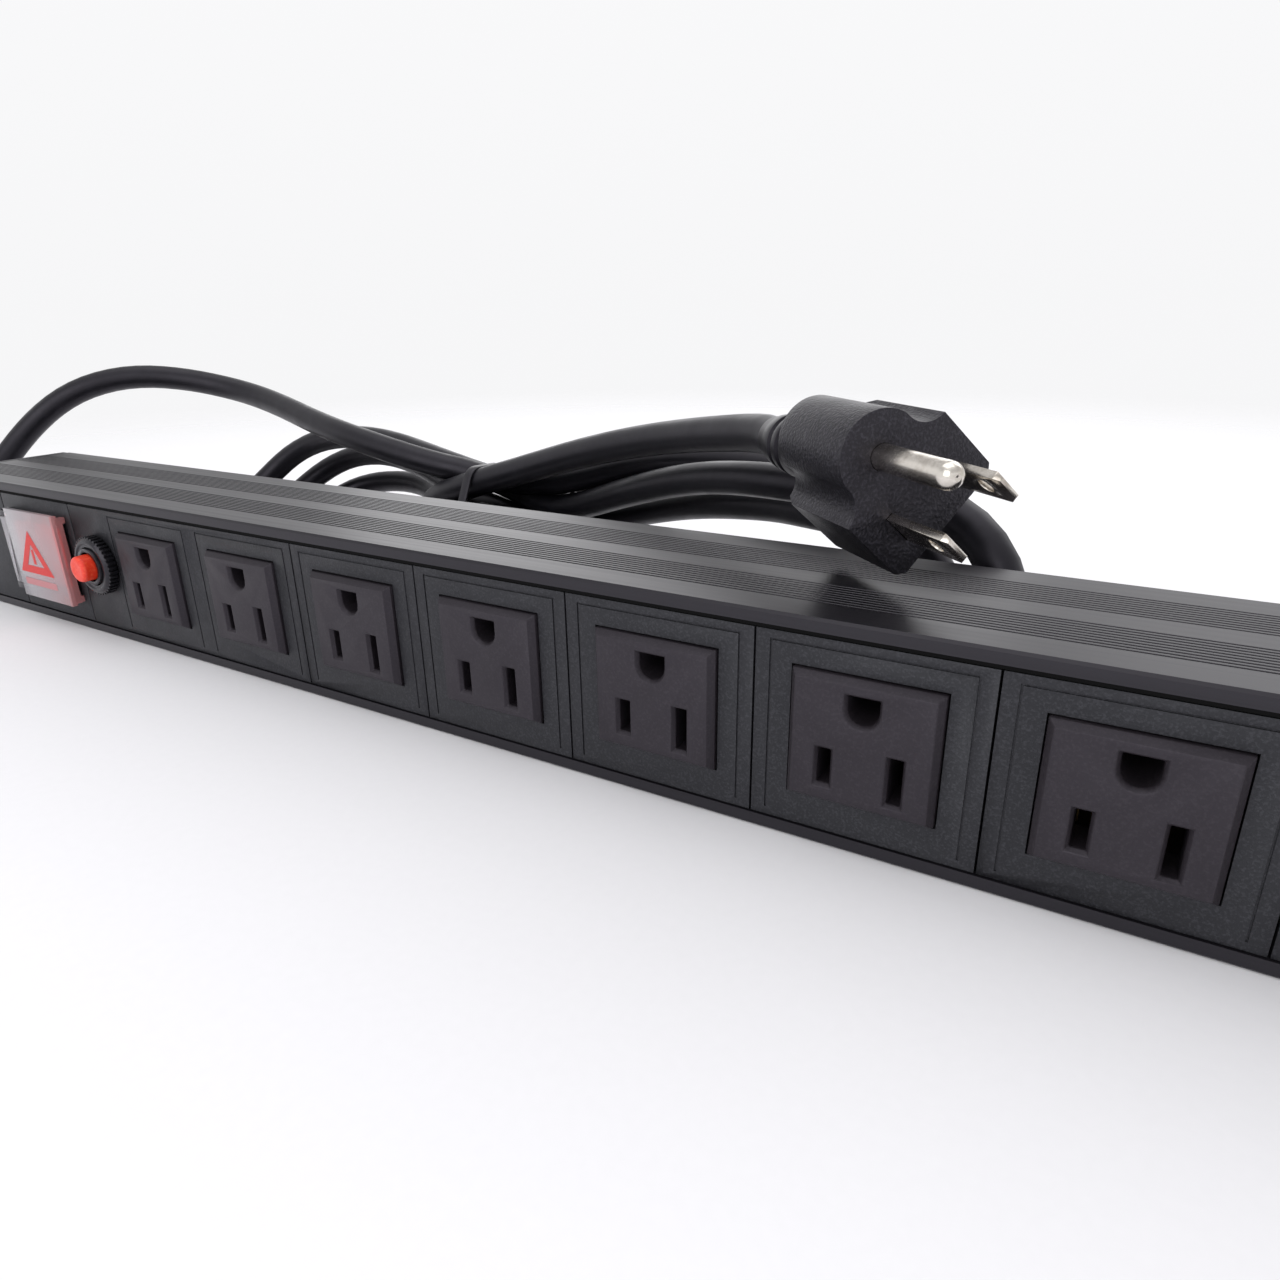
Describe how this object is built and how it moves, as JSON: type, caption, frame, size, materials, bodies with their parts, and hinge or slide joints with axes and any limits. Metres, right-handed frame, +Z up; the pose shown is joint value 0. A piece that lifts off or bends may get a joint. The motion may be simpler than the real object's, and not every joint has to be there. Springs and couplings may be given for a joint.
{
  "type": "power strip",
  "caption": "Rack-width power strip: extruded housing, grounded outlets, guarded rocker switch, reset breaker, and a tied power cord with a moulded plug.",
  "frame": {"origin": "middle of the housing's flat underside", "axes": "+X along the housing towards the last outlet, -Y out of the outlets, +Z up"},
  "size_m": [0.4875, 0.1485, 0.076],
  "materials": {
    "anodised_aluminium": "satin black anodised",
    "cap_plastic": "fine matte",
    "panel_plastic": "fine moulded texture",
    "outlet_plastic": "smooth satin",
    "switch_plastic": "satin",
    "red_plastic": "translucent red",
    "orange_plastic": "satin",
    "clear_plastic": "clear moulded polycarbonate",
    "lamp_glass": "clear",
    "brass": "bare",
    "nickel": "nickel plate",
    "blackened_steel": "black oxide",
    "cord_pvc": "glossy PVC jacket",
    "plug_pvc": "textured PVC",
    "tie_plastic": "flat",
    "white_insulation": "smooth",
    "green_insulation": "smooth"
  },
  "bodies": {
    "strip": {"housing": "anodised_aluminium", "end_cap_left": "cap_plastic", "end_cap_right": "cap_plastic", "cord_gland": "cap_plastic", "blank_plate": "panel_plastic", "switch_plate": "panel_plastic", "breaker_plate": "panel_plastic", "line_busbar": "brass", "neutral_busbar": "brass", "ground_busbar": "brass", "busbar_carrier": "cap_plastic", "switch_body": "switch_plastic", "switch_lamp": "lamp_glass", "switch_terminal_line": "brass", "switch_terminal_load": "brass", "guard_hinge_pin": "nickel", "breaker_body": "switch_plastic", "breaker_nut": "switch_plastic", "breaker_terminal_line": "brass", "breaker_terminal_load": "brass", "line_wire": "cord_pvc", "switched_wire": "cord_pvc", "load_wire": "cord_pvc", "neutral_wire": "white_insulation", "ground_wire": "green_insulation", "ground_screw": "brass", "cord_lead": "cord_pvc", "cord_hank": "cord_pvc", "cord_tie": "tie_plastic", "cord_tail": "cord_pvc", "plug_body": "plug_pvc", "plug_strain_relief": "plug_pvc", "plug_ground_pin": "nickel", "plug_line_blade": "nickel", "plug_neutral_blade": "nickel", "end_screw_left_1": "blackened_steel", "end_screw_left_2": "blackened_steel", "end_screw_left_3": "blackened_steel", "end_screw_left_4": "blackened_steel", "end_screw_right_1": "blackened_steel", "end_screw_right_2": "blackened_steel", "end_screw_right_3": "blackened_steel", "end_screw_right_4": "blackened_steel", "outlet_1": "outlet_plastic", "outlet_2": "outlet_plastic", "outlet_3": "outlet_plastic", "outlet_4": "outlet_plastic", "outlet_5": "outlet_plastic", "outlet_6": "outlet_plastic", "outlet_7": "outlet_plastic", "outlet_8": "outlet_plastic", "outlet_plate_3": "panel_plastic", "outlet_plate_4": "panel_plastic", "outlet_plate_5": "panel_plastic", "outlet_plate_6": "panel_plastic", "outlet_plate_7": "panel_plastic", "outlet_plate_8": "panel_plastic"},
    "guard": {"guard_cover": "clear_plastic"},
    "rocker": {"rocker": "red_plastic"},
    "button": {"reset_button": "orange_plastic"}
  },
  "joints": [
    {"name": "guard_hinge", "type": "hinge", "parent": "strip", "child": "guard", "pos_m": [-0.1686, -0.0247, 0.0232], "axis": [0, 0, -1], "range_deg": [0, 110]},
    {"name": "rocker_pivot", "type": "hinge", "parent": "strip", "child": "rocker", "pos_m": [-0.1527, -0.0184, 0.0227], "axis": [0, 0, -1], "range_deg": [0, 8]},
    {"name": "reset_travel", "type": "slide", "parent": "strip", "child": "button", "axis": [0, -1, 0], "range_m": [0, 0.003]}
  ]
}
